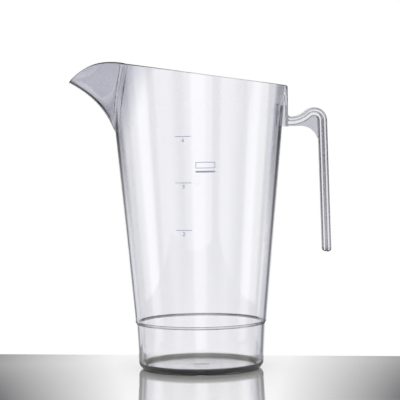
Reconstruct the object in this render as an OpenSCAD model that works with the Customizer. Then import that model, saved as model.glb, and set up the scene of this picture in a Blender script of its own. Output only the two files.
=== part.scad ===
// Clear beer pitcher of about four pints, moulded in polycarbonate.
// The spout points to -X, the handle to +X, and the printed measures face -Y.
// The origin is on the jug's axis, at the level of the surface that it stands on.

/* [Barrel] */
// Height of the rim above the table, on the jug's axis
rim_h = 256.9; // [235:0.1:280]
// Outer radius of the barrel at its lower end
barrel_r = 57.1; // [54:0.1:62]
// Half angle of the barrel's taper, in degrees
barrel_taper = 5.15; // [3:0.05:7]
// Thickness of the barrel's wall
wall = 2.8; // [2.2:0.1:3.4]
// Slope of the rim, falling from spout to handle, in degrees
rim_tilt = 8.1; // [4:0.1:11]
// Radius on the edges of the rim
rim_edge = 0.7; // [0.3:0.1:1]

/* [Spout] */
// How far the tip of the spout stands out from the barrel
spout_reach = 36.3; // [26:0.1:46]
// Height below the rim's level at the axis at which the spout begins
spout_start_drop = 50.6; // [42:0.1:60]
// Height of the spout's tip above that beginning
spout_rise = 43.8; // [36:0.1:47]
// How far the lip's edge falls below the line of the rim at the tip
lip_drop = 23.3; // [15:0.1:27]
// Half angle that the spout takes of the rim, in degrees
spout_spread = 33; // [24:1:38]

/* [Base cup] */
// Height of the seam between barrel and base cup
seam_h = 37.3; // [28:0.1:45]
// Outer radius of the base cup at the level of the seam
cup_r = 56.2; // [55.4:0.1:56.5]
// Draft of the base cup's side, in degrees
cup_draft = 3; // [1:0.1:4]
// Thickness of the base cup's side wall
cup_wall = 3.1; // [2.6:0.1:3.4]
// Radius of the corner between side and foot
foot_corner = 6.4; // [4:0.1:8]
// Level of the inner floor
floor_h = 3.2; // [2.8:0.1:6]
// Radius inside, between floor and side
floor_corner = 3.3; // [2:0.1:5]
// Depth of the recess inside the foot ring
foot_recess = 1.2; // [0.6:0.1:1.6]
// Width of the flat foot ring
foot_ring = 4.4; // [3:0.1:6]
// Width of the drain notch in the front of the foot ring
notch_w = 8; // [5:0.5:12]
// Radius of the moulding gate's dimple under the floor
gate_r = 7.5; // [5:0.1:10]
// Depth of the gate's dimple
gate_depth = 0.8; // [0.4:0.1:1]
// Height of the joint groove at the seam
groove_h = 1.7; // [1:0.1:3]
// Depth of the joint groove, from the cup's side
groove_depth = 1.1; // [0.6:0.1:1.2]
// Height of the spigot that enters the barrel
spigot_h = 4.9; // [1.5:0.1:6.5]

/* [Handle] */
// How far the bracket's outer face stands out from the barrel at the rim
bracket_stand = 1.5; // [1:0.1:6]
// Width of the bracket
bracket_w = 32; // [28:0.5:40]
// Thickness of the bracket's plate and cheeks
bracket_wall = 2.6; // [2:0.1:4]
// Height from the arm's centreline up to the rim's level on the jug's axis
arm_drop = 41.9; // [34:0.1:60]
// Length of the straight stretch at the root of the arm
root_l = 2.7; // [2:0.1:8]
// Angle at which the arm climbs, in degrees
climb = 42; // [30:1:55]
// Radius of the arm's dip, on the centreline
dip_r = 22.5; // [14:0.5:28]
// Radius of the arm's hump, on the centreline
hump_r = 7.3; // [6:0.1:12]
// Outward lean of the grip, in degrees
grip_lean = 1.4; // [0:0.05:3]
// Length of the straight grip, down to its open end
grip_l = 114.5; // [90:0.5:130]
// Depth of the arm and grip, seen from the side
grip_depth = 7.8; // [7.4:0.1:10]
// Width of the palm flange
flange_w = 24; // [18:0.5:28]
// Thickness of the palm flange at its edges
flange_t = 3.9; // [3.2:0.1:4.6]
// Width of the finger rib
rib_w = 11; // [8:0.5:15]
// Thickness of the gusset under the hump
gusset_t = 2.6; // [1.6:0.1:4]
// Radius of the gusset's hollow edge
gusset_r = 14.9; // [12:0.1:18]

/* [Print] */
// Levels of the two, three and four pint rules
rule_levels = [125.2, 165.4, 204.5];
// Width of each rule
rule_w = 13.4; // [8:0.1:20]
// Line width of the print
ink_line = 0.5; // [0.3:0.05:0.8]
// Height of the numerals
numeral_h = 2.6; // [2:0.1:4]
// Distance of the print's centre from the middle of the jug
print_offset = 13.3; // [10:0.1:20]
// Level of the lower edge of the stamp's frame
stamp_h = 177.6; // [170:0.1:180]
// Width of the stamp
stamp_w = 16.4; // [10:0.1:20]
// Thickness of the ink film
ink = 0.1; // [0.05:0.01:0.2]

/* [Hidden] */

clear_plastic = [0.9, 0.93, 0.96, 0.45];
ink_colour = [0.45, 0.46, 0.62];

overrun = 1;            // how far a cut runs past the face that it cuts
joint_clearance = 0.1;  // between the spigot and the barrel
film_gap = 0.02;        // between the ink film and the wall
round_steps = 6;        // segments in half a turn of a small rounded edge
notch_share = 0.7;      // depth of the drain notches, as a share of the recess
flare_steps = 4;        // sections along the root of the arm
dip_steps = 7;
hump_steps = 12;
end_steps = 5;
root_round = 2;         // hollow corner between arm and bracket
end_round = 3;          // rounding of the grip's open end
rib_round = 2.4;
inner_round = 1.4;
flange_round = 1.2;
palm_round = 1.9;
tip_share = 0.73;       // how far down its hollow the gusset's tip ends
bracket_edge = 2;       // rounding of the bracket's top edge
bracket_round = 3;      // rounding of the bracket's upright edges
pocket_end = 0.5;       // depth that is left at the top of the bracket's pocket
bracket_foot = 0.7;     // how far the bracket reaches below the arm
bracket_back_share = 0.9;
film_share = 0.7;       // where the front half of the wall's print begins, as a share of the radius
numeral_drop_share = 1.75;
stamp_x = 5.3;          // place of the stamp beside the middle of the jug
stamp_shape_share = 0.32;
stamp_drop = 3.6;       // from the stamp's frame down to the bar under it
stamp_bar_lines = 3;    // thickness of that bar, in line widths

// ---- Barrel and spout ----
seam_edge = 1.9;        // radius on the barrel's lower outer edge
spout_start = rim_h - spout_start_drop;
lip_start_share = 0.51; // where the lip's edge leaves the rim line, as a share of the tip's distance
line_share = 0.425;     // share of the spout's reach that grows evenly with height
flare_extra = 9;        // how far the flare would run on above the tip
tip_round_share = 0.2;  // rounding of the spout's keel, as a share of its half angle
side_power = 1.25;      // how hollow the spout's sides are
edge_power = 0.75;      // how fast the spout widens above its beginning
spout_columns = 32;
round_columns = 56;
spout_rows = 11;
probe_angle = 0.4;      // step used to measure the wall's slope around the jug
probe_rise = wall / 8;  // step used to measure the wall's slope upwards

wall_level = wall / cos(barrel_taper); // the wall's thickness, measured level

// Outer radius of the plain barrel at a level
function cone_r(z) = barrel_r + (z - seam_h) * tan(barrel_taper);

// Height above the spout's beginning, as a share of the rise to its tip
function spout_share(z) = max(0, (z - spout_start) / spout_rise);

// How far the keel of the spout stands out from the barrel at a level
function keel_out(z) =
    let (q = spout_share(z), slope = spout_reach * (3 - 2 * line_share))
    q < 1 ? spout_reach * (line_share * q + (1 - line_share) * q ^ 3)
          : spout_reach + flare_extra * (1 - exp((1 - q) * slope / flare_extra));

// Half angle that the spout takes at a level
function edge_angle(z) =
    let (full = (rim_h + rim_tilt_rise - spout_start) / spout_rise)
    spout_spread * (spout_share(z) / full) ^ edge_power;
rim_tilt_rise = cone_r(rim_h) * cos(spout_spread) * sin(rim_tilt);

// Falls from 1 on the keel to 0 at the spout's edge
function side_share(s) =
    let (e = tip_round_share, h = (sqrt(s * s + e * e) - e) / (sqrt(1 + e * e) - e))
    s >= 1 ? 0 : (1 - h) ^ side_power;

// Outer radius at an angle from the spout's keel
function outer_r(a, z) =
    let (edge = edge_angle(z))
    cone_r(z) + (edge > 0 && abs(a) < edge ? keel_out(z) * side_share(abs(a) / edge) : 0);

function outer_point(a, z) = let (r = outer_r(a, z)) [-r * cos(a), -r * sin(a), z];

// Outward normal of the outer face
function outer_normal(a, z) =
    let (n = cross(outer_point(a, z + probe_rise) - outer_point(a, z - probe_rise),
                   outer_point(a + probe_angle, z) - outer_point(a - probe_angle, z)))
    -n / norm(n);

// A point in the wall, at a depth below the outer face
function wall_point(a, z, depth) = outer_point(a, z) - depth * outer_normal(a, z);

// Level of the rim or lip at a distance x from the axis
tip_x = cone_r(spout_start + spout_rise) + spout_reach;
lip_x = tip_x * lip_start_share;
function edge_level(x) =
    rim_h - x * tan(rim_tilt) - lip_drop * max(0, (-x - lip_x) / (tip_x - lip_x)) ^ 3;

// Level of the wall's top at an angle, by halving the interval that holds it
function top_level(a, low, high, n) =
    let (mid = (low + high) / 2, over = mid > edge_level(outer_point(a, mid).x))
    n == 0 ? mid : top_level(a, over ? low : mid, over ? mid : high, n - 1);

wall_angles = concat(
    [for (i = [0 : spout_columns - 1]) -spout_spread + 2 * spout_spread * i / spout_columns],
    [for (i = [0 : round_columns - 1]) spout_spread + (360 - 2 * spout_spread) * i / round_columns]);
search_low = rim_h - cone_r(rim_h) * sin(rim_tilt) * 2;
search_high = rim_h + tip_x * tan(rim_tilt);
wall_tops = [for (a = wall_angles)
    let (t = a > 180 ? a - 360 : a) top_level(t, search_low, search_high, 30)];

// A point of the round barrel, set back from the outer face
function round_point(a, z, back) = let (r = cone_r(z) - back) [-r * cos(a), -r * sin(a), z];

// The wall's section at one column: up the outer face, over the rim and down the inner face
function column(a, top) = concat(
    [for (i = [0 : round_steps / 2])
        let (t = 90 - 180 * i / round_steps)
        round_point(a, seam_h + seam_edge * (1 - sin(t)), seam_edge * (1 - cos(t)))],
    [for (i = [0 : spout_rows])
        wall_point(a, spout_start + (top - rim_edge - spout_start) * i / spout_rows, 0)],
    [wall_point(a, top, rim_edge), wall_point(a, top, wall - rim_edge)],
    [for (i = [spout_rows : -1 : 0])
        wall_point(a, spout_start + (top - rim_edge - spout_start) * i / spout_rows, wall)],
    [round_point(a, seam_h, wall_level)]);

// Faces between neighbouring sections of m points each
function skin(m, pairs) = [for (p = pairs, j = [0 : m - 1])
    let (k = (j + 1) % m, a = p[0] * m + j, b = p[0] * m + k, c = p[1] * m + k, d = p[1] * m + j)
    each [[a, b, c], [a, c, d]]];

module barrel() {
    sections = [for (i = [0 : len(wall_angles) - 1]) column(wall_angles[i], wall_tops[i])];
    n = len(sections);
    color(clear_plastic)
        polyhedron(points = [for (q = sections) each q],
                   faces = skin(len(sections[0]), [for (i = [0 : n - 1]) [i, (i + 1) % n]]));
}

// ---- Base cup ----
spigot_r = cone_r(seam_h) - wall_level - joint_clearance;
cup_top = seam_h + spigot_h;

// Radius of the cup's side at a level, set back by a thickness
function cup_side(z, back) = cup_r - back - (seam_h - z) * tan(cup_draft);

// Where a corner of radius r, resting on a level z, has its centre and meets the side
function corner_centre(z, r, back) = [cup_side(z + r, back) - r / cos(cup_draft), z + r];
function corner_end(z, r, back) =
    corner_centre(z, r, back) + r * [cos(cup_draft), -sin(cup_draft)];

module cup_outline() {
    centre = corner_centre(0, foot_corner, 0);
    polygon([[0, 0], [centre.x, 0], corner_end(0, foot_corner, 0),
             [cup_side(seam_h - groove_h, 0), seam_h - groove_h],
             [cup_r - groove_depth, seam_h - groove_h / 2],
             [cup_r - groove_depth, seam_h], [spigot_r, seam_h],
             [spigot_r, cup_top], [0, cup_top]]);
    translate(centre) circle(r = foot_corner);
}

module cup_hollow() {
    centre = corner_centre(floor_h, floor_corner, cup_wall);
    polygon([[0, floor_h], [centre.x, floor_h], corner_end(floor_h, floor_corner, cup_wall),
             [cup_side(cup_top, cup_wall), cup_top],
             [cup_side(cup_top, cup_wall), cup_top + overrun], [0, cup_top + overrun]]);
    translate(centre) circle(r = floor_corner);
}

module base_cup() {
    foot_r = corner_centre(0, foot_corner, 0).x;
    gate_ball = (gate_r ^ 2 + gate_depth ^ 2) / (2 * gate_depth);
    color(clear_plastic)
        difference() {
            rotate_extrude()
                difference() {
                    cup_outline();
                    cup_hollow();
                    polygon([[0, -overrun], [foot_r - foot_ring, -overrun],
                             [foot_r - foot_ring, 0],
                             [foot_r - foot_ring - foot_recess, foot_recess], [0, foot_recess]]);
                }
            translate([0, 0, foot_recess + gate_depth - gate_ball]) sphere(r = gate_ball);
            translate([-notch_w / 2, -foot_r - foot_corner, -overrun])
                cube([notch_w, foot_ring + foot_corner + overrun,
                      foot_recess * notch_share + overrun]);
        }
}

// ---- Handle ----
// The bracket's outer face follows the barrel's size at the rim, and the arm follows the rim's level
rim_back_r = cone_r(rim_h) / (1 + tan(rim_tilt) * tan(barrel_taper));
bracket_x = rim_back_r + bracket_stand;
arm_h = rim_h - arm_drop;
bracket_h = arm_h - grip_depth / 2 - bracket_foot;

// The centreline in side view: root, dip, hump and grip, each point [x, z, direction]
dip_centre = [bracket_x + root_l, arm_h + dip_r];
dip_end = dip_centre + dip_r * [sin(climb), -cos(climb)];
hump_centre = dip_end + hump_r * [sin(climb), -cos(climb)];
hump_turn = climb + 90 - grip_lean;
grip_top = hump_centre + hump_r * [cos(grip_lean), sin(grip_lean)];

path = concat(
    [for (i = [0 : flare_steps - 1]) [bracket_x + root_l * i / flare_steps, arm_h, 0]],
    [for (i = [0 : dip_steps - 1]) let (t = climb * i / dip_steps)
        [dip_centre.x + dip_r * sin(t), dip_centre.y - dip_r * cos(t), t]],
    [for (i = [0 : hump_steps]) let (t = climb - hump_turn * i / hump_steps)
        [hump_centre.x - hump_r * sin(t), hump_centre.y + hump_r * cos(t), t]],
    [for (i = [0 : end_steps]) let (u = grip_l - end_round * (1 - sin(90 * i / end_steps)))
        [grip_top.x + u * sin(grip_lean), grip_top.y - u * cos(grip_lean), grip_lean - 90]]);
path_n = len(path);

// How far the arm thickens on top beside the bracket, and how far the open end is rounded off
function root_grow(x) = let (q = min(1, (x - bracket_x) / root_round))
    root_round * (1 - sqrt(1 - (1 - q) ^ 2));
function end_shrink(i) = let (k = max(0, i - (path_n - 1 - end_steps)))
    end_round * (1 - cos(90 * k / end_steps));

// A rounded corner of the section, turning from one direction by 90 degrees
function corner(y, h, r, from, turn) = [for (i = [0 : round_steps / 2])
    let (t = from + turn * 2 * i / round_steps) [y + r * cos(t), h + r * sin(t)]];

// The section as points [y, height]: palm flange above, finger rib below
section_half = concat(
    corner(rib_w / 2 - rib_round, -grip_depth / 2 + rib_round, rib_round, -90, 90),
    corner(rib_w / 2 + inner_round, grip_depth / 2 - flange_t - inner_round, inner_round, 180, -90),
    corner(flange_w / 2 - flange_round, grip_depth / 2 - flange_t + flange_round,
           flange_round, -90, 90),
    corner(flange_w / 2 - palm_round, grip_depth / 2 - palm_round, palm_round, 0, 90));
section_n = len(section_half);
section = concat(section_half,
                 [for (i = [section_n - 1 : -1 : 0]) [-section_half[i].x, section_half[i].y]]);

// The section placed on the path
function grip_section(i) =
    let (q = path[i], up = [-sin(q[2]), 0, cos(q[2])], s = end_shrink(i),
         g = q[0] < bracket_x + root_l && i < flare_steps ? root_grow(q[0]) : 0)
    [for (e = section)
        let (h = e.y * (1 - 2 * s / grip_depth) + g * (e.y / grip_depth + 1 / 2))
        [q[0], e.x * (1 - 2 * s / flange_w), q[1]] + h * up];

module handle_grip() {
    m = len(section);
    color(clear_plastic)
        polyhedron(
            points = [for (i = [0 : path_n - 1]) each grip_section(i)],
            faces = concat(skin(m, [for (i = [0 : path_n - 2]) [i, i + 1]]),
                           [[for (j = [m - 1 : -1 : 0]) j]],
                           [[for (j = [0 : m - 1]) (path_n - 1) * m + j]]));
}

// Inner edge of arm and grip in side view
function inner_edge(i) = let (q = path[i])
    [q[0] + grip_depth / 2 * sin(q[2]), q[1] - grip_depth / 2 * cos(q[2])];

module handle_gusset() {
    grip_inner = [for (i = [0 : path_n - 1]) if (i <= path_n - 2 - end_steps) inner_edge(i)];
    last = grip_inner[len(grip_inner) - 1];
    tip_h = bracket_h - gusset_r * tip_share;
    tip_in = last.x + (last.y - tip_h) * tan(grip_lean);
    hollow_x = tip_in - gusset_r;
    color(clear_plastic)
        rotate([90, 0, 0])
            linear_extrude(height = gusset_t, center = true)
                difference() {
                    polygon(concat([[bracket_x, bracket_h]], grip_inner,
                                   [[tip_in, tip_h], [hollow_x, tip_h], [hollow_x, bracket_h]]));
                    translate([hollow_x, bracket_h - gusset_r]) circle(r = gusset_r);
                }
}

module handle_bracket() {
    rim_x = bracket_x - bracket_edge;
    rim_z = rim_h - rim_x * tan(rim_tilt);
    pocket_x = bracket_x - bracket_wall;
    back_x = cone_r(bracket_h) * bracket_back_share;
    pocket_w = bracket_w - 2 * bracket_wall;
    pocket_top = seam_h + (pocket_x - pocket_end - barrel_r) / tan(barrel_taper);
    color(clear_plastic)
        difference() {
            intersection() {
                rotate([90, 0, 0])
                    linear_extrude(height = bracket_w, center = true) {
                        polygon([[back_x, bracket_h], [bracket_x, bracket_h],
                                 [bracket_x, rim_z - bracket_edge],
                                 [rim_x, rim_z - bracket_edge + bracket_edge / cos(rim_tilt)],
                                 [back_x, rim_h - back_x * tan(rim_tilt)]]);
                        translate([rim_x, rim_z - bracket_edge]) circle(r = bracket_edge);
                    }
                translate([0, 0, bracket_h - overrun])
                    linear_extrude(height = rim_h - bracket_h) {
                        translate([0, -bracket_w / 2])
                            square([bracket_x - bracket_round, bracket_w]);
                        translate([0, bracket_round - bracket_w / 2])
                            square([bracket_x, bracket_w - 2 * bracket_round]);
                        for (side = [-1, 1])
                            translate([bracket_x - bracket_round,
                                       side * (bracket_w / 2 - bracket_round)])
                                circle(r = bracket_round);
                    }
            }
            translate([0, 0, bracket_h - overrun])
                cylinder(r1 = cone_r(bracket_h - overrun), r2 = cone_r(rim_h),
                         h = rim_h - bracket_h + overrun);
            translate([0, -pocket_w / 2, bracket_h - overrun])
                cube([pocket_x, pocket_w, pocket_top - bracket_h + overrun]);
        }
}

// ---- Print ----
// Ink on the round wall: what a flat outline, seen from the front, covers of a thin film
module film(low, high) {
    low_r = cone_r(low) + film_gap;
    high_r = cone_r(high) + film_gap;
    color(ink_colour)
        intersection() {
            difference() {
                translate([0, 0, low])
                    cylinder(r1 = low_r + ink, r2 = high_r + ink, h = high - low);
                translate([0, 0, low])
                    cylinder(r1 = low_r, r2 = high_r, h = high - low);
            }
            translate([0, -barrel_r * film_share, 0])
                rotate([90, 0, 0]) linear_extrude(height = barrel_r) children();
        }
}

module rule(level) {
    film(level - numeral_h, level + numeral_h)
        translate([-print_offset - rule_w / 2, level - ink_line / 2]) square([rule_w, ink_line]);
}

// One straight stroke of a numeral, between two points given in shares of its height
module stroke(from, to) {
    d = (to - from) * numeral_h;
    translate(from * numeral_h)
        rotate([0, 0, atan2(d.y, d.x)])
            translate([-ink_line / 2, -ink_line / 2]) square([norm(d) + ink_line, ink_line]);
}

module strokes(corners) {
    for (i = [0 : len(corners) - 2]) stroke(corners[i], corners[i + 1]);
}

// A numeral under its rule, its corners in shares of its height
module numeral(level, lines) {
    base = level - numeral_h * numeral_drop_share;
    film(level - 2 * numeral_h, level)
        translate([-print_offset, base])
            for (line = lines) strokes(line);
}

two_lines = [[[-0.3, 0.86], [-0.15, 1], [0.15, 1], [0.3, 0.86], [0.3, 0.64], [-0.3, 0], [0.3, 0]]];
three_lines = [[[-0.3, 1], [0.3, 1], [0, 0.58], [0.18, 0.56], [0.3, 0.42], [0.3, 0.16],
                [0.15, 0], [-0.15, 0], [-0.3, 0.12]]];
four_lines = [[[0.16, 0], [0.16, 1], [-0.32, 0.28], [0.34, 0.28]]];

module rule_2_pint() { rule(rule_levels[0]); }
module rule_3_pint() { rule(rule_levels[1]); }
module rule_4_pint() { rule(rule_levels[2]); }
module numeral_2_pint() { numeral(rule_levels[0], two_lines); }
module numeral_3_pint() { numeral(rule_levels[1], three_lines); }
module numeral_4_pint() { numeral(rule_levels[2], four_lines); }

module stamp_frame() {
    h = stamp_w * stamp_shape_share;
    film(stamp_h - stamp_w, stamp_h + stamp_w)
        translate([stamp_x - stamp_w / 2, stamp_h])
            difference() {
                square([stamp_w, h]);
                translate([ink_line, ink_line])
                    square([stamp_w - 2 * ink_line, h - 2 * ink_line]);
            }
}

module stamp_bar() {
    film(stamp_h - stamp_w, stamp_h + stamp_w)
        translate([stamp_x - stamp_w / 2, stamp_h - stamp_drop])
            square([stamp_w, ink_line * stamp_bar_lines]);
}

barrel();
base_cup();
handle_bracket();
handle_grip();
handle_gusset();
rule_2_pint();
rule_3_pint();
rule_4_pint();
numeral_2_pint();
numeral_3_pint();
numeral_4_pint();
stamp_frame();
stamp_bar();
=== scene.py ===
from math import asin, atan2, cos, degrees, exp, hypot, pi, radians, sin, sqrt, tan

import bmesh
import bpy
from mathutils import Matrix, Vector


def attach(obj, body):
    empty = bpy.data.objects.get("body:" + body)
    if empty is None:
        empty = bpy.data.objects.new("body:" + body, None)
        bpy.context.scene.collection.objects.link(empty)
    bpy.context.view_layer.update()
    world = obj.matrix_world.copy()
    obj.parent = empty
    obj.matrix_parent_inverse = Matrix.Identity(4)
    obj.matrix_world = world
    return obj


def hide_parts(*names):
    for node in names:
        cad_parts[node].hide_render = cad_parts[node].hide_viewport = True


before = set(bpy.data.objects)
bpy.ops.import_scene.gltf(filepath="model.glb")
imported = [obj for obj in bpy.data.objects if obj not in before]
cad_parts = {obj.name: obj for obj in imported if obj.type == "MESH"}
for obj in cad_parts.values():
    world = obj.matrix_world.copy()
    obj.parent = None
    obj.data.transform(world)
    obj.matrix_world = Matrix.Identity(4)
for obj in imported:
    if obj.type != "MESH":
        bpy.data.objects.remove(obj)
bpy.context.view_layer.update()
scene = bpy.context.scene
mm = 0.001


# small helpers
def linearColour(hexCode):
    # sRGB hex to the linear values that the sockets take
    parts = [int(hexCode[i:i + 2], 16) / 255 for i in (1, 3, 5)]
    return [p / 12.92 if p <= 0.04045 else ((p + 0.055) / 1.055) ** 2.4 for p in parts] + [1.0]


def addNode(tree, kind, values=None, links=None, **settings):
    # values go on the sockets by name or number, links bring another node's output to one
    node = tree.nodes.new(kind)
    for name, value in settings.items():
        setattr(node, name, value)
    for socket, value in (values or {}).items():
        node.inputs[socket].default_value = value
    for socket, output in (links or {}).items():
        tree.links.new(output, node.inputs[socket])
    return node


def newMaterial(name):
    material = bpy.data.materials.new(name)
    material.use_nodes = True
    material.node_tree.nodes.clear()
    return material, material.node_tree


def addRamp(tree, factor, stops):
    # stops are (place, sRGB hex) in rising order
    ramp = addNode(tree, "ShaderNodeValToRGB", links={0: factor})
    elements = ramp.color_ramp.elements
    for place, shade in stops[2:]:
        elements.new(place)
    for element, (place, shade) in zip(elements, sorted(stops)):
        element.position = place
        element.color = linearColour(shade)
    return ramp


def finishPiece(name, bm, material, slotName, *nodes, sharpAngle):
    # faces outwards, smooth except over sharp edges, riding on the jug's one body
    bmesh.ops.recalc_face_normals(bm, faces=bm.faces)
    for face in bm.faces:
        face.smooth = True
    for edge in bm.edges:
        if len(edge.link_faces) == 2 and edge.calc_face_angle(0) > radians(sharpAngle):
            edge.smooth = False
    mesh = bpy.data.meshes.new(name)
    bm.to_mesh(mesh)
    bm.free()
    mesh.materials.append(material)
    piece = bpy.data.objects.new(name, mesh)
    scene.collection.objects.link(piece)
    # large faces keep their own normals, so that long walls don't bend the view like a lens
    normals = piece.modifiers.new("areaNormals", "WEIGHTED_NORMAL")
    normals.mode = "FACE_AREA"
    normals.keep_sharp = True
    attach(piece, "root")
    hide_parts(*nodes)
    print("made", name, len(mesh.vertices), "vertices")


def arcPoints(centre, radius, start, turn, steps):
    # points of an arc in a side view, angles in degrees
    return [(centre[0] + radius * cos(radians(start + turn * i / steps)),
             centre[1] + radius * sin(radians(start + turn * i / steps))) for i in range(steps + 1)]


def filletCorners(corners, steps):
    # a side view's corners (x, z, radius), each with a radius rounded by an arc
    outline = []
    for i, (x, z, radius) in enumerate(corners):
        if not radius or i in (0, len(corners) - 1):
            outline.append((x, z))
            continue
        here = Vector((x, z))
        toLast = (Vector(corners[i - 1][:2]) - here).normalized()
        toNext = (Vector(corners[i + 1][:2]) - here).normalized()
        half = toLast.angle(toNext) / 2
        centre = here + (toLast + toNext).normalized() * radius / sin(half)
        start, end = here + toLast * radius / tan(half), here + toNext * radius / tan(half)
        startAngle = atan2(start.y - centre.y, start.x - centre.x)
        turn = atan2(end.y - centre.y, end.x - centre.x) - startAngle
        turn = (turn + pi) % (2 * pi) - pi
        outline += arcPoints(centre, radius, degrees(startAngle), degrees(turn), steps)
    return outline


# materials
plasticLook = {
    "tint": "#FDFDFF",          # nearly water clear, a trace of blue
    "ior": 1.585,               # polycarbonate
    "roughness": 0.0,
    "depthTint": "#B9C0DA",     # lavender that gathers where the eye looks along a wall
    "depthDensity": 3.0,        # absorption per metre
    "flowWave": 46.0,           # length of the moulding's slow waves
    "flowHeight": 0.005,
    "flowStretch": 0.35,        # below 1 the waves are longer upwards
    # painted shade: the plastic is coloured darker by place, here towards the spout, standing in for the grey
    # shading there: it comes in between two values of the sum of radius, x and height, each with its weight
    "paintedShade": "#DBDBE2", "paintedShadeWeights": (0, -1, 0.4), "paintedShadeFrom": 142, "paintedShadeFull": 166,
}
# painted shade: the thick round corner under the wall is coloured nearly black
footLook = dict(plasticLook, paintedShade="#4A463E", paintedShadeWeights=(1, 0, -1.5), paintedShadeFrom=44.5, paintedShadeFull=47)
# painted shade: the thin web and the thick handle are shaded copies of the clear plastic, one step greyer all
# over
webLook = dict(plasticLook, tint="#BEBEC8", paintedShade="#BEBEC8")
handleLook = dict(plasticLook, tint="#E8E8EC", paintedShade="#E8E8EC")


def makeClearPlastic(name, look):
    # injection moulded polycarbonate: gives sharp refraction, dark drawn edges and a
    # lavender depth where the wall is seen edge on, with the slow flow waves of the mould
    material, tree = newMaterial(name)
    place = addNode(tree, "ShaderNodeTexCoord").outputs["Object"]
    stretch = addNode(tree, "ShaderNodeMapping", {"Scale": (1, 1, look["flowStretch"])}, {"Vector": place})
    flow = addNode(tree, "ShaderNodeTexNoise",
                   {"Scale": 1000 / look["flowWave"], "Detail": 0.0, "Roughness": 0.4},
                   {"Vector": stretch.outputs[0]})
    bump = addNode(tree, "ShaderNodeBump", {"Strength": 1.0, "Distance": look["flowHeight"] * mm},
                   {"Height": flow.outputs["Fac"]})
    axes = addNode(tree, "ShaderNodeSeparateXYZ", links={0: place})
    flat = addNode(tree, "ShaderNodeCombineXYZ", links={"X": axes.outputs["X"], "Y": axes.outputs["Y"]})
    radius = addNode(tree, "ShaderNodeVectorMath", links={0: flat.outputs[0]}, operation="LENGTH")
    where = addNode(tree, "ShaderNodeCombineXYZ",
                    links={"X": radius.outputs["Value"], "Y": axes.outputs["X"], "Z": axes.outputs["Z"]})
    along = addNode(tree, "ShaderNodeVectorMath", {1: look["paintedShadeWeights"]}, {0: where.outputs[0]},
                    operation="DOT_PRODUCT")
    way = addNode(tree, "ShaderNodeMapRange",
                  {"From Min": look["paintedShadeFrom"] * mm, "From Max": look["paintedShadeFull"] * mm},
                  {"Value": along.outputs["Value"]})
    # painted shade: between the two values the colour turns from the tint to the darker painted shade colour
    paintedShade = addRamp(tree, way.outputs[0], [(0, look["tint"]), (1, look["paintedShade"])])
    clear = addNode(tree, "ShaderNodeBsdfPrincipled",
                    {"Roughness": look["roughness"], "IOR": look["ior"], "Transmission Weight": 1.0},
                    {"Base Color": paintedShade.outputs[0], "Normal": bump.outputs[0]})
    depth = addNode(tree, "ShaderNodeVolumeAbsorption",
                    {"Color": linearColour(look["depthTint"]), "Density": look["depthDensity"]})
    addNode(tree, "ShaderNodeOutputMaterial",
            links={"Surface": clear.outputs[0], "Volume": depth.outputs[0]})
    return material


inkLook = {
    "ink": "#9898BA",           # pale lavender grey, as printed on clear plastic
    "thinInk": "#B0B0CA",
    "grain": 0.35,              # size of the speckle in the film
    "grainHeight": 0.01,
    "ior": 1.5,
    "roughness": 0.42,
}


def makePrintInk(look):
    # pad printed ink: gives a soft matte film with thin spots where the pad lifted
    material, tree = newMaterial("padPrintedInk")
    place = addNode(tree, "ShaderNodeTexCoord").outputs["Object"]
    speckle = addNode(tree, "ShaderNodeTexNoise", {"Scale": 1000 / look["grain"], "Detail": 2.0},
                      {"Vector": place})
    shade = addRamp(tree, speckle.outputs["Fac"], [(0.4, look["ink"]), (0.7, look["thinInk"])])
    bump = addNode(tree, "ShaderNodeBump", {"Strength": 0.3, "Distance": look["grainHeight"] * mm},
                   {"Height": speckle.outputs["Fac"]})
    film = addNode(tree, "ShaderNodeBsdfPrincipled", {"Roughness": look["roughness"], "IOR": look["ior"]},
                   {"Base Color": shade.outputs[0], "Normal": bump.outputs[0]})
    addNode(tree, "ShaderNodeOutputMaterial", links={"Surface": film.outputs[0]})
    return material


clearPlastic = makeClearPlastic("mouldedClearPolycarbonate", plasticLook)
footPlastic = makeClearPlastic("mouldedClearPolycarbonateFoot", footLook)
webPlastic = makeClearPlastic("mouldedClearPolycarbonateWeb", webLook)
handlePlastic = makeClearPlastic("mouldedClearPolycarbonateHandle", handleLook)
printInk = makePrintInk(inkLook)
print("materials ready")

# barrel with its spout
barrelForm = {
    # the spout pulls out by a straight and a cubed share of the way up, over the given spread of
    # its keel, and past full reach it flares on a little; the lip drops over its last part
    "rimHeight": 256.9, "lowRadius": 57.4, "taper": 5.15, "wall": 2.8, "rimTilt": 8.1, "rimEdge": 0.7,
    "spoutReach": 36.3, "spoutStartDrop": 50.6, "spoutRise": 43.8, "lipDrop": 23.3, "spoutSpread": 33,
    "seamHeight": 40.6, "seamEdge": 0.9,
    "lipStartShare": 0.51, "lineShare": 0.425, "flareExtra": 9, "tipRoundShare": 0.2,
    "sidePower": 1.25, "edgePower": 0.75, "footBevel": 0.3, "footRound": 0.09,
    "normalTurn": 0.4, "normalRise": 0.35,      # half steps that the face's normal is taken over
    "rimSearch": 30, "rimHalvings": 30,         # how far either way the rim is looked for
    "columns": 360, "lowRows": 5, "spoutRows": 26, "rimSteps": 5, "seamSteps": 6,
}
b = barrelForm
spoutStart = b["rimHeight"] - b["spoutStartDrop"]
wallLevel = b["wall"] / cos(radians(b["taper"]))


def coneRadius(z):
    return b["lowRadius"] + (z - b["seamHeight"]) * tan(radians(b["taper"]))


tiltRise = coneRadius(b["rimHeight"]) * cos(radians(b["spoutSpread"])) * sin(radians(b["rimTilt"]))
tipX = coneRadius(spoutStart + b["spoutRise"]) + b["spoutReach"]
lipX = tipX * b["lipStartShare"]


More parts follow.
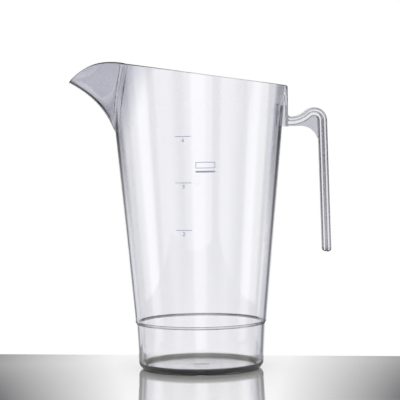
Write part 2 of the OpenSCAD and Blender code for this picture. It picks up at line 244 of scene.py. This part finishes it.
def outerPoint(angle, z):
    # the barrel's outer face at an angle from the spout's keel
    share = max(0, (z - spoutStart) / b["spoutRise"])
    slope = b["spoutReach"] * (3 - 2 * b["lineShare"])
    if share < 1:
        reach = b["spoutReach"] * (b["lineShare"] * share + (1 - b["lineShare"]) * share ** 3)
    else:
        reach = b["spoutReach"] + b["flareExtra"] * (1 - exp((1 - share) * slope / b["flareExtra"]))
    full = (b["rimHeight"] + tiltRise - spoutStart) / b["spoutRise"]
    spread = b["spoutSpread"] * (share / full) ** b["edgePower"]
    radius = coneRadius(z)
    if spread > 0 and abs(angle) < spread:
        e, s = b["tipRoundShare"], abs(angle) / spread
        fall = (sqrt(s * s + e * e) - e) / (sqrt(1 + e * e) - e)
        radius += reach * (1 - fall) ** b["sidePower"]
    return Vector((-radius * cos(radians(angle)), -radius * sin(radians(angle)), z))


def wallPoint(angle, z, depth):
    # a point at a depth in the wall, along the outer face's normal from two short steps on it
    turn, rise = b["normalTurn"], b["normalRise"]
    across = outerPoint(angle + turn, z) - outerPoint(angle - turn, z)
    up = outerPoint(angle, z + rise) - outerPoint(angle, z - rise)
    return outerPoint(angle, z) + depth * up.cross(across).normalized()


def edgeLevel(x):
    # height of the rim in side view
    lip = max(0, (-x - lipX) / (tipX - lipX))
    return b["rimHeight"] - x * tan(radians(b["rimTilt"])) - b["lipDrop"] * lip ** 3


def topLevel(angle):
    # where the barrel's outer face meets the sloping rim, by halving the range
    low, high = b["rimHeight"] - b["rimSearch"], b["rimHeight"] + b["rimSearch"]
    for halving in range(b["rimHalvings"]):
        middle = (low + high) / 2
        low, high = (low, middle) if middle > edgeLevel(outerPoint(angle, middle).x) else (middle, high)
    return low


def makeBarrel():
    # The wall is first spun as a straight tube. Its radius holds the depth in the wall, as 1 plus a
    # tenth of it, and its height holds the way up: 0 to 1 plain barrel, 1 to 2 spout, 2 to 3 rim.
    wall, edge, seam = b["wall"], b["rimEdge"], b["seamEdge"]
    plain = spoutStart - b["seamHeight"]
    turns = [radians(90 * (1 - i / b["seamSteps"])) for i in range(b["seamSteps"] + 1)]
    outer = [(seam * (1 - cos(turn)), seam * (1 - sin(turn)) / plain) for turn in turns]
    outer += [(0, i / b["lowRows"]) for i in range(1, b["lowRows"])]
    outer += [(0, 1 + i / b["spoutRows"]) for i in range(b["spoutRows"] + 1)]
    rim = [(edge * (1 - cos(radians(90 * i / b["rimSteps"]))), 2 + sin(radians(90 * i / b["rimSteps"])))
           for i in range(1, b["rimSteps"] + 1)]
    inner = [(wall - depth, way) for depth, way in reversed(outer[len(turns):] + rim)]
    bevel, soft = b["footBevel"], b["footRound"]
    bottom = [(wall, bevel / plain), (wall - soft, soft / plain), (wall - bevel, 0.0)]
    profile = outer + rim + inner + bottom

    bm = bmesh.new()
    ring = [bm.verts.new((1 + depth / 10, 0, way)) for depth, way in profile]
    loop = [bm.edges.new((ring[i - 1], ring[i])) for i in range(len(ring))]
    bmesh.ops.spin(bm, geom=ring + loop, cent=(0, 0, 0), axis=(0, 0, 1), angle=2 * pi,
                   steps=b["columns"], use_merge=True)
    bmesh.ops.remove_doubles(bm, verts=bm.verts, dist=1e-6)

    tops = {}
    for vert in bm.verts:
        x, y, way = vert.co
        depth = (hypot(x, y) - 1) * 10
        angle = round(degrees(atan2(-y, -x)), 3)
        if way <= 1 + 1e-5:
            level = b["seamHeight"] + way * plain
            radius = coneRadius(level) - depth * wallLevel / wall
            vert.co = (-radius * cos(radians(angle)), -radius * sin(radians(angle)),
                       level + way * depth * sin(radians(b["taper"])))
            continue
        if angle not in tops:
            tops[angle] = topLevel(angle)
        straight = tops[angle] - edge
        level = spoutStart + (straight - spoutStart) * min(1, way - 1) + edge * max(0, way - 2)
        vert.co = wallPoint(angle, level, depth)
    bmesh.ops.scale(bm, vec=(mm, mm, mm), verts=bm.verts)
    finishPiece("jugBarrel", bm, clearPlastic, "clear_plastic", "barrel", sharpAngle=60)


makeBarrel()

# base cup
cupForm = {
    "radius": 56.37, "draft": 3, "wall": 3.1, "footCorner": 6.4, "floor": 3.2, "floorCorner": 3.3,
    "recess": 1.2, "ring": 4.4, "notchWidth": 8, "notchShare": 0.3,
    "notchBack": 8, "notchTop": 3,      # the part of the ring that is cut for the notch
    "gateRadius": 7.5, "gateDepth": 0.8,
    "grooveHeight": 0.9, "grooveDepth": 0.5, "spigotHeight": 1.5, "clearance": 0.1,
    "softEdge": 0.3, "ringRound": 1.0, "seamGap": 0.02, "seamRound": 0.1, "topRoundShare": 0.48,
    "segments": 288, "cornerSteps": 14, "gateSteps": 10, "edgeSteps": 4,
}


def makeBaseCup():
    c = cupForm
    seam, draft = b["seamHeight"], radians(c["draft"])
    top = seam + c["spigotHeight"]
    spigot = coneRadius(seam) - wallLevel - c["clearance"]

    def side(z, back=0):
        return c["radius"] - back - (seam - z) * tan(draft)

    def cornerArc(level, radius, back):
        centre = (side(level + radius, back) - radius / cos(draft), level + radius)
        return centre, arcPoints(centre, radius, -90, 90 - c["draft"], c["cornerSteps"])

    footCentre, foot = cornerArc(0, c["footCorner"], 0)
    hollow = cornerArc(c["floor"], c["floorCorner"], c["wall"])[1]
    ringIn = footCentre[0] - c["ring"]
    gateBall = (c["gateRadius"] ** 2 + c["gateDepth"] ** 2) / (2 * c["gateDepth"])
    gateTurn = degrees(asin(c["gateRadius"] / gateBall))
    gate = arcPoints((0, c["recess"] + c["gateDepth"] - gateBall), gateBall, 90, -gateTurn, c["gateSteps"])
    soft = c["softEdge"]
    thin = (spigot - side(top, c["wall"])) * c["topRoundShare"]
    grooveLow, grooveMid = seam - c["grooveHeight"], seam - c["grooveHeight"] / 2
    grooveTop, grooveIn = seam - c["seamGap"], c["radius"] - c["grooveDepth"]
    under = filletCorners([(gate[-1][0], gate[-1][1], 0), (ringIn - c["recess"], c["recess"], c["ringRound"]),
                           (ringIn, 0, soft), (footCentre[0], 0, 0)], c["edgeSteps"])
    outside = filletCorners([(foot[-1][0], foot[-1][1], 0), (side(grooveLow), grooveLow, soft),
                             (grooveIn, grooveMid, soft), (grooveIn, grooveTop, c["seamRound"]),
                             (spigot, grooveTop, c["seamRound"]), (spigot, top, thin),
                             (side(top, c["wall"]), top, thin), (hollow[-1][0], hollow[-1][1], 0)],
                            c["edgeSteps"])
    profile = gate[:-1] + under[:-1] + foot[:-1] + outside[:-1] + list(reversed(hollow)) + [(0, c["floor"])]

    bm = bmesh.new()
    line = [bm.verts.new((x, 0, z)) for x, z in profile]
    edges = [bm.edges.new((line[i], line[i + 1])) for i in range(len(line) - 1)]
    bmesh.ops.spin(bm, geom=line + edges, cent=(0, 0, 0), axis=(0, 0, 1), angle=2 * pi,
                   steps=c["segments"], use_merge=True)
    bmesh.ops.remove_doubles(bm, verts=bm.verts, dist=1e-4)
    # the drain notch in the front of the foot ring: the ring's faces there are cut and lifted
    half, lift = c["notchWidth"] / 2, c["recess"] * c["notchShare"]
    nearBack, nearTop = c["notchBack"] - ringIn, c["notchTop"]
    for place, normal in (((-half, 0, 0), (1, 0, 0)), ((half, 0, 0), (1, 0, 0)), ((0, 0, lift), (0, 0, 1))):
        middles = [(f, f.calc_center_median()) for f in bm.faces]
        near = [f for f, m in middles if m.y < nearBack and m.z < nearTop and abs(m.x) < half * 2]
        rim = {e for f in near for e in f.edges}
        verts = {v for f in near for v in f.verts}
        bmesh.ops.bisect_plane(bm, geom=near + list(rim) + list(verts), plane_co=place, plane_no=normal,
                               dist=1e-5)
    for vert in bm.verts:
        if abs(vert.co.x) < half - 0.01 and vert.co.y < -ringIn + c["recess"] + 0.5 and vert.co.z < lift:
            vert.co.z = lift
    bmesh.ops.scale(bm, vec=(mm, mm, mm), verts=bm.verts)
    finishPiece("jugBaseCup", bm, footPlastic, "clear_plastic", "base_cup", sharpAngle=50)


makeBaseCup()

# handle
handleForm = {
    "bracketStand": 1.5, "armDrop": 41.9, "root": 2.7, "climb": 42, "dipRadius": 22.5,
    "humpRadius": 7.3, "lean": 1.4, "gripLength": 114.5, "depth": 7.8, "flangeWidth": 24,
    "flangeThickness": 3.9, "ribWidth": 11, "rootRound": 2, "endRound": 3, "ribRound": 2.0,
    "innerRound": 0.7, "flangeRound": 1.2, "palmRound": 2.0, "sectionSteps": 12, "airGap": 0.03,
    "flareSteps": 6, "dipSteps": 16, "humpSteps": 34, "gripSteps": 10, "endSteps": 8,
}


def makeGrip():
    h = handleForm
    lean, climb = radians(h["lean"]), radians(h["climb"])
    rimBack = coneRadius(b["rimHeight"]) / (1 + tan(radians(b["rimTilt"])) * tan(radians(b["taper"])))
    rootX, armZ = rimBack + h["bracketStand"], b["rimHeight"] - h["armDrop"]

    # the centreline in side view, each stop (x, z, direction)
    flare, dip, hump, end = h["flareSteps"], h["dipSteps"], h["humpSteps"], h["endSteps"]
    dipCentre = (rootX + h["root"], armZ + h["dipRadius"])
    humpCentre = (dipCentre[0] + (h["dipRadius"] + h["humpRadius"]) * sin(climb),
                  dipCentre[1] - (h["dipRadius"] + h["humpRadius"]) * cos(climb))
    humpTurn = climb + pi / 2 - lean
    gripTop = (humpCentre[0] + h["humpRadius"] * cos(lean), humpCentre[1] + h["humpRadius"] * sin(lean))
    stops = [(rootX + h["root"] * i / flare, armZ, 0) for i in range(flare)]
    for turn in (climb * i / dip for i in range(dip)):
        stops.append((dipCentre[0] + h["dipRadius"] * sin(turn),
                      dipCentre[1] - h["dipRadius"] * cos(turn), turn))
    for turn in (climb - humpTurn * i / hump for i in range(hump)):
        stops.append((humpCentre[0] - h["humpRadius"] * sin(turn),
                      humpCentre[1] + h["humpRadius"] * cos(turn), turn))
    straight = h["gripLength"] - h["endRound"]
    runs = [straight * i / h["gripSteps"] for i in range(h["gripSteps"])]
    runs += [straight + h["endRound"] * sin(pi / 2 * i / end) for i in range(end + 1)]
    stops += [(gripTop[0] + run * sin(lean), gripTop[1] - run * cos(lean), lean - pi / 2) for run in runs]

    # the T section, palm flange above and finger rib below, as (across, height)
    half, steps = h["depth"] / 2, h["sectionSteps"]
    section = arcPoints((h["ribWidth"] / 2 - h["ribRound"], h["ribRound"] - half), h["ribRound"],
                        -90, 90, steps)
    section += arcPoints((h["ribWidth"] / 2 + h["innerRound"], half - h["flangeThickness"] - h["innerRound"]),
                         h["innerRound"], 180, -90, steps)
    section += arcPoints((h["flangeWidth"] / 2 - h["flangeRound"],
                          half - h["flangeThickness"] + h["flangeRound"]), h["flangeRound"], -90, 90, steps)
    section += arcPoints((h["flangeWidth"] / 2 - h["palmRound"], half - h["palmRound"]), h["palmRound"],
                         0, 90, steps)
    section += [(-across, height) for across, height in reversed(section)]

    # a flat grid rolled up round the centreline, wider at its root and drawn in at its end
    bm = bmesh.new()
    bmesh.ops.create_grid(bm, x_segments=len(stops) - 1, y_segments=len(section), size=1)
    for vert in bm.verts:
        i = round((vert.co.x + 1) / 2 * (len(stops) - 1))
        x, z, turn = stops[i]
        across, height = section[round((vert.co.y + 1) / 2 * len(section)) % len(section)]
        shrink = h["endRound"] * (1 - cos(pi / 2 * max(0, i - (len(stops) - 1 - end)) / end))
        grow = 0
        if i < flare:
            q = min(1, (x - rootX) / h["rootRound"])
            grow = h["rootRound"] * (1 - sqrt(1 - (1 - q) ** 2))
            x = max(x, rootX + h["airGap"])
        lift = height * (1 - 2 * shrink / h["depth"]) + grow * (height / h["depth"] + 0.5)
        vert.co = (x - lift * sin(turn), across * (1 - 2 * shrink / h["flangeWidth"]), z + lift * cos(turn))
    bmesh.ops.remove_doubles(bm, verts=bm.verts, dist=1e-3)
    bmesh.ops.holes_fill(bm, edges=bm.edges, sides=0)
    bmesh.ops.scale(bm, vec=(mm, mm, mm), verts=bm.verts)
    finishPiece("jugGrip", bm, handlePlastic, "clear_plastic", "handle_grip", sharpAngle=35)


softenForm = {"mergeDistance": 0.01, "flatAngle": 1, "sharpAngle": 40}


def makeFromSolid(name, node, material, bevelWidth, bevelSteps):
    # a plain moulding keeps its solid's form: merged, drawn in by the air gap, its edges softened
    bm = bmesh.new()
    bm.from_mesh(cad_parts[node].data)
    bmesh.ops.remove_doubles(bm, verts=bm.verts, dist=softenForm["mergeDistance"] * mm)
    bmesh.ops.recalc_face_normals(bm, faces=bm.faces)
    bmesh.ops.dissolve_limit(bm, angle_limit=radians(softenForm["flatAngle"]), verts=bm.verts, edges=bm.edges)
    bm.normal_update()
    gap = handleForm["airGap"] * mm
    moves = {vert: -gap * vert.calc_shell_factor() * vert.normal for vert in bm.verts}
    for vert, move in moves.items():
        vert.co += move
    least = radians(softenForm["sharpAngle"])
    sharp = [e for e in bm.edges if len(e.link_faces) == 2 and e.calc_face_angle(0) > least]
    bmesh.ops.bevel(bm, geom=sharp, offset=bevelWidth * mm, offset_type="OFFSET", affect="EDGES",
                    segments=bevelSteps, profile=0.5, material=-1, clamp_overlap=True)
    finishPiece(name, bm, material, "clear_plastic", node, sharpAngle=35)


makeGrip()
makeFromSolid("jugBracket", "handle_bracket", handlePlastic, 0.35, 3)
makeFromSolid("jugGusset", "handle_gusset", webPlastic, 0.25, 2)

# printed measures
for nodeName in ("rule_2_pint", "rule_3_pint", "rule_4_pint", "numeral_2_pint", "numeral_3_pint",
                 "numeral_4_pint", "stamp_frame", "stamp_bar"):
    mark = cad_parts[nodeName]
    mark.data.materials.clear()
    mark.data.materials.append(printInk)
print("print dressed")

# table, backdrop, light and camera
tableLook = {
    "halfWidth": 320, "front": -460, "back": 79, "thickness": 3, "gap": 0.03,
    "turn": -7.0,               # the sheet stands a little turned
    # painted pool of light: across the sheet it fades from white to grey, and nearer the eye the white is
    # narrower
    "whiteHalf": 78, "greyHalf": 215,
    "narrowFrom": 34, "narrowFull": -178, "narrowMost": 1.36,
    "mirrorWhite": "#FEFEFE", "mirrorGrey": "#707072", "matteWhite": "#F0F0F0", "matteGrey": "#8A8A8C",
    # how much of it is mirror, from looking straight down to looking along it
    "mirrorShares": [(0.0, "#303030"), (0.6, "#404040"), (0.85, "#D3D3D3"), (1.0, "#D3D3D3")],
    "mirrorRoughness": 0.02,
}


def makeTable():
    t = tableLook
    bm = bmesh.new()
    bmesh.ops.create_cube(bm, size=1)
    bmesh.ops.translate(bm, vec=(0, 0, -0.5), verts=bm.verts)
    bmesh.ops.scale(bm, vec=(2 * t["halfWidth"] * mm, (t["back"] - t["front"]) * mm, t["thickness"] * mm),
                    verts=bm.verts)
    bmesh.ops.translate(bm, vec=(0, (t["back"] + t["front"]) / 2 * mm, -t["gap"] * mm), verts=bm.verts)
    bmesh.ops.rotate(bm, cent=(0, t["back"] * mm, 0), matrix=Matrix.Rotation(radians(t["turn"]), 3, "Z"),
                     verts=bm.verts)
    # glossy acrylic sheet: a mirror where the eye looks along it, grey where it looks down
    material, tree = newMaterial("glossySheet")
    coordinates = addNode(tree, "ShaderNodeTexCoord")
    place = addNode(tree, "ShaderNodeSeparateXYZ", links={0: coordinates.outputs["Object"]})
    aside = addNode(tree, "ShaderNodeMath", links={0: place.outputs["X"]}, operation="ABSOLUTE")
    narrow = addNode(tree, "ShaderNodeMapRange",
                     {"From Min": t["narrowFrom"] * mm, "From Max": t["narrowFull"] * mm,
                      "To Min": 1.0, "To Max": t["narrowMost"]},
                     {"Value": place.outputs["Y"]})
    wide = addNode(tree, "ShaderNodeMath", links={0: aside.outputs[0], 1: narrow.outputs[0]},
                   operation="MULTIPLY")
    way = addNode(tree, "ShaderNodeMapRange",
                  {"From Min": t["whiteHalf"] * mm, "From Max": t["greyHalf"] * mm},
                  {"Value": wide.outputs[0]})
    # painted pool of light: the mirror and matte colours are white in the middle of the sheet and grey to its
    # sides
    mirror = addRamp(tree, way.outputs[0], [(0, t["mirrorWhite"]), (1, t["mirrorGrey"])])
    shade = addRamp(tree, way.outputs[0], [(0, t["matteWhite"]), (1, t["matteGrey"])])
    gloss = addNode(tree, "ShaderNodeBsdfAnisotropic", {"Roughness": t["mirrorRoughness"]},
                    {"Color": mirror.outputs[0]})
    matte = addNode(tree, "ShaderNodeBsdfDiffuse", links={"Color": shade.outputs[0]})
    slant = addNode(tree, "ShaderNodeLayerWeight", {"Blend": 0.5})
    share = addRamp(tree, slant.outputs["Facing"], t["mirrorShares"])
    sheet = addNode(tree, "ShaderNodeMixShader",
                    links={0: share.outputs[0], 1: matte.outputs[0], 2: gloss.outputs[0]})
    addNode(tree, "ShaderNodeOutputMaterial", links={"Surface": sheet.outputs[0]})
    mesh = bpy.data.meshes.new("tableSheet")
    bm.to_mesh(mesh)
    bm.free()
    mesh.materials.append(material)
    table = bpy.data.objects.new("tableSheet", mesh)
    scene.collection.objects.link(table)


studioLook = {
    "light": 1.0,
    # what clear and mirrored rays see: shades of a panel and its dark sides, over the turn in
    # degrees from its middle, at three heights; they repeat on the jug's four sides
    "eyeShades": [
        (-45, "#B2B2B7"), (-38, "#939398"), (-32, "#262626"), (-14, "#383838"), (-12, "#9E9EA2"),
        (-10, "#ECECF2"), (-8, "#FFFFFF"), (6, "#FFFFFF"), (8, "#EDEDF3"), (10, "#C2C2C7"),
        (13, "#6B6B6E"), (20, "#262626"), (32, "#262626"), (38, "#939398"), (45, "#B2B2B7"),
    ],
    "middleShades": [
        (-45, "#D1D1D8"), (-32, "#ACACB2"), (-25, "#67676B"), (-20, "#606064"), (-16, "#FFFFFF"),
        (12, "#FFFFFF"), (16, "#CACACF"), (20, "#58585B"), (25, "#6B6B6E"), (32, "#58585B"),
        (38, "#B9BAC0"), (45, "#D1D1D8"),
    ],
    "lowShades": [
        (-45, "#CACACF"), (-32, "#F1F2F9"), (-27, "#58585B"), (-21, "#58585B"), (-17, "#FFFFFF"),
        (8, "#FFFFFF"), (11, "#E5E5EC"), (16, "#DEDFE6"), (20, "#A7A8AD"), (25, "#454547"),
        (32, "#939398"), (38, "#B9BAC0"), (45, "#CACACF"),
    ],
    "levels": (-0.05, -0.09, -0.13),    # sines of the three heights' angles
    # from straight down at 0 to straight up at 1: how much of the panels there is
    "heightShares": [
        (0.0, "#060606"), (0.3, "#060606"), (0.35, "#FFFFFF"), (0.6, "#FFFFFF"), (0.65, "#060606"),
        (1.0, "#060606"),
    ],
    # and how much there is of the plain pale floor and ceiling that steep rays meet
    "capShares": [
        (0.0, "#FFFFFF"), (0.17, "#FFFFFF"), (0.24, "#000000"), (0.76, "#000000"), (0.9, "#FFFFFF"),
        (1.0, "#FFFFFF"),
    ],
    "capShade": "#F8F8FB",
}


def makeStudio():
    # The eye sees a white backdrop. Clear plastic and the glossy sheet see the same white in
    # upright panels, with dark gaps between, above and below that draw the lines along edges.
    s = studioLook
    world = bpy.data.worlds.new("studio")
    world.use_nodes = True
    scene.world = world
    tree = world.node_tree
    tree.nodes.clear()
    coordinates = addNode(tree, "ShaderNodeTexCoord")
    look = addNode(tree, "ShaderNodeSeparateXYZ", links={0: coordinates.outputs["Generated"]})
    azimuth = addNode(tree, "ShaderNodeMath", links={0: look.outputs["X"], 1: look.outputs["Y"]},
                      operation="ARCTAN2")
    turns = addNode(tree, "ShaderNodeMath", {1: 4 / (2 * pi), 2: 0.5}, {0: azimuth.outputs[0]},
                    operation="MULTIPLY_ADD")
    way = addNode(tree, "ShaderNodeMath", links={0: turns.outputs[0]}, operation="FRACT")
    eye, middle, low = [addRamp(tree, way.outputs[0], [(turn / 90 + 0.5, shade) for turn, shade in s[shades]])
                        for shades in ("eyeShades", "middleShades", "lowShades")]
    high, half, deep = s["levels"]
    panels = low.outputs[0]
    for top, bottom, shades in ((half, deep, middle), (high, half, eye)):
        blend = addNode(tree, "ShaderNodeMapRange", {"From Min": bottom, "From Max": top},
                        {"Value": look.outputs["Z"]})
        panels = addNode(tree, "ShaderNodeMix",
                         links={0: blend.outputs[0], 6: panels, 7: shades.outputs[0]},
                         data_type="RGBA").outputs[2]
    height = addNode(tree, "ShaderNodeMapRange", {"From Min": -1.0}, {"Value": look.outputs["Z"]})
    upright = addRamp(tree, height.outputs[0], s["heightShares"])
    caps = addRamp(tree, height.outputs[0], s["capShares"])
    seen = addNode(tree, "ShaderNodeMix", {0: 1.0}, {6: upright.outputs[0], 7: panels},
                   data_type="RGBA", blend_type="MULTIPLY")
    room = addNode(tree, "ShaderNodeMix", {7: linearColour(s["capShade"])},
                   {0: caps.outputs[0], 6: seen.outputs[2]}, data_type="RGBA")
    path = addNode(tree, "ShaderNodeLightPath")
    clearRay = addNode(tree, "ShaderNodeMath",
                       links={0: path.outputs["Is Glossy Ray"], 1: path.outputs["Is Transmission Ray"]},
                       operation="MAXIMUM")
    white = linearColour("#FFFFFF")
    plain = addNode(tree, "ShaderNodeBackground", {"Color": white, "Strength": s["light"]})
    studio = addNode(tree, "ShaderNodeBackground", {"Strength": s["light"]}, {"Color": room.outputs[2]})
    behind = addNode(tree, "ShaderNodeBackground", {"Color": white, "Strength": 1.0})
    dressed = addNode(tree, "ShaderNodeMixShader",
                      links={0: clearRay.outputs[0], 1: plain.outputs[0], 2: studio.outputs[0]})
    backdrop = addNode(tree, "ShaderNodeMixShader",
                       links={0: path.outputs["Is Camera Ray"], 1: dressed.outputs[0], 2: behind.outputs[0]})
    addNode(tree, "ShaderNodeOutputWorld", links={"Surface": backdrop.outputs[0]})


cameraPlace = {
    "lens": 185.94, "sensor": 36, "pitch": 3.46, "roll": 0.68, "place": (0.513, -1797.855, 255.543),
    "near": 50, "far": 50000,
}


def makeCamera():
    c = cameraPlace
    pitch, roll = radians(c["pitch"]), radians(c["roll"])
    forward = Vector((0, cos(pitch), -sin(pitch)))
    right = Vector((1, 0, 0))
    up = right.cross(forward)
    turnedRight = right * cos(roll) - up * sin(roll)
    turnedUp = right * sin(roll) + up * cos(roll)
    data = bpy.data.cameras.new("photoCamera")
    data.sensor_width = c["sensor"]
    data.lens = c["lens"]
    data.clip_start, data.clip_end = c["near"] * mm, c["far"] * mm
    camera = bpy.data.objects.new("photoCamera", data)
    camera.matrix_world = Matrix.Translation([v * mm for v in c["place"]]) @ Matrix(
        [turnedRight, turnedUp, -forward]).transposed().to_4x4()
    scene.collection.objects.link(camera)
    scene.camera = camera


makeTable()
makeStudio()
makeCamera()
scene.view_settings.view_transform = "Standard"
scene.cycles.denoising_input_passes = "RGB"
# a ray crosses many clear walls, and some are mirrored inside them
scene.cycles.max_bounces = 24
scene.cycles.transmission_bounces = 24
scene.cycles.glossy_bounces = 12
print("stage ready")
